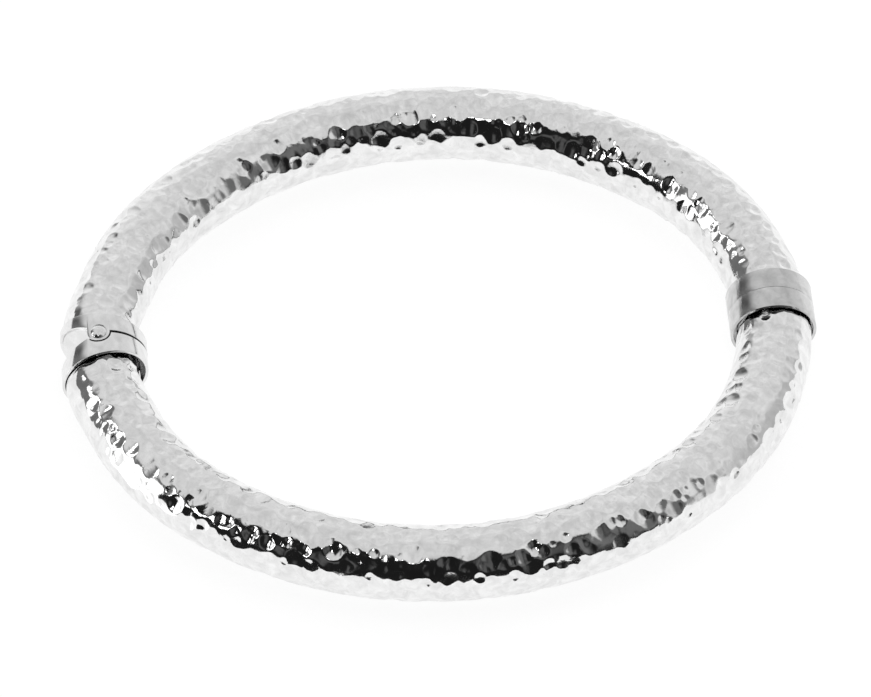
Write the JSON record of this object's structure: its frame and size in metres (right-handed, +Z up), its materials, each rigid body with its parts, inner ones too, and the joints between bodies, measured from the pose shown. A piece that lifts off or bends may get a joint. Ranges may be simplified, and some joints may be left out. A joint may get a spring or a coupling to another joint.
{
  "type": "hinged bangle bracelet",
  "caption": "Hinged oval bangle of hollow hammered silver tube, opened by a pin hinge at one end and closed by a push-in spring tongue.",
  "frame": {"origin": "middle of the underside of the closed bangle's box, on the surface it lies on", "axes": "+X along the oval's long axis from the hinge to the clasp, +Y towards the fixed back half, +Z up"},
  "size_m": [0.075, 0.063, 0.0089],
  "materials": {
    "hammered_silver": "mirror-polished, hammered",
    "polished_silver": "polished smooth, fine handling scratches",
    "satin_silver": "satin, as filed",
    "spring_steel": "bright rolled strip"
  },
  "bodies": {
    "back_half": {"back_tube": "hammered_silver", "back_hinge_collar": "polished_silver", "back_inner_cheek": "satin_silver", "back_outer_cheek": "satin_silver", "hinge_pin": "polished_silver", "back_clasp_collar": "polished_silver", "back_clasp_plate": "satin_silver", "catch_box": "satin_silver"},
    "front_half": {"front_tube": "hammered_silver", "front_hinge_collar": "polished_silver", "front_inner_cheek": "satin_silver", "front_outer_cheek": "satin_silver", "hinge_knuckle": "satin_silver", "front_clasp_collar": "polished_silver", "front_clasp_plate": "satin_silver", "tongue_base": "satin_silver"},
    "spring_leaf": {"tongue_spring": "spring_steel"}
  },
  "joints": [
    {"name": "bangle_hinge", "type": "hinge", "parent": "back_half", "child": "front_half", "pos_m": [-0.03365, 0, 0.0043], "axis": [0, 0, -1], "range_deg": [0, 45]},
    {"name": "tongue_flex", "type": "hinge", "parent": "front_half", "child": "spring_leaf", "pos_m": [0.03325, 0.0043, 0.00395], "axis": [1, 0, 0], "range_deg": [0, 8], "stiffness_Nm_per_rad": 0.01}
  ]
}
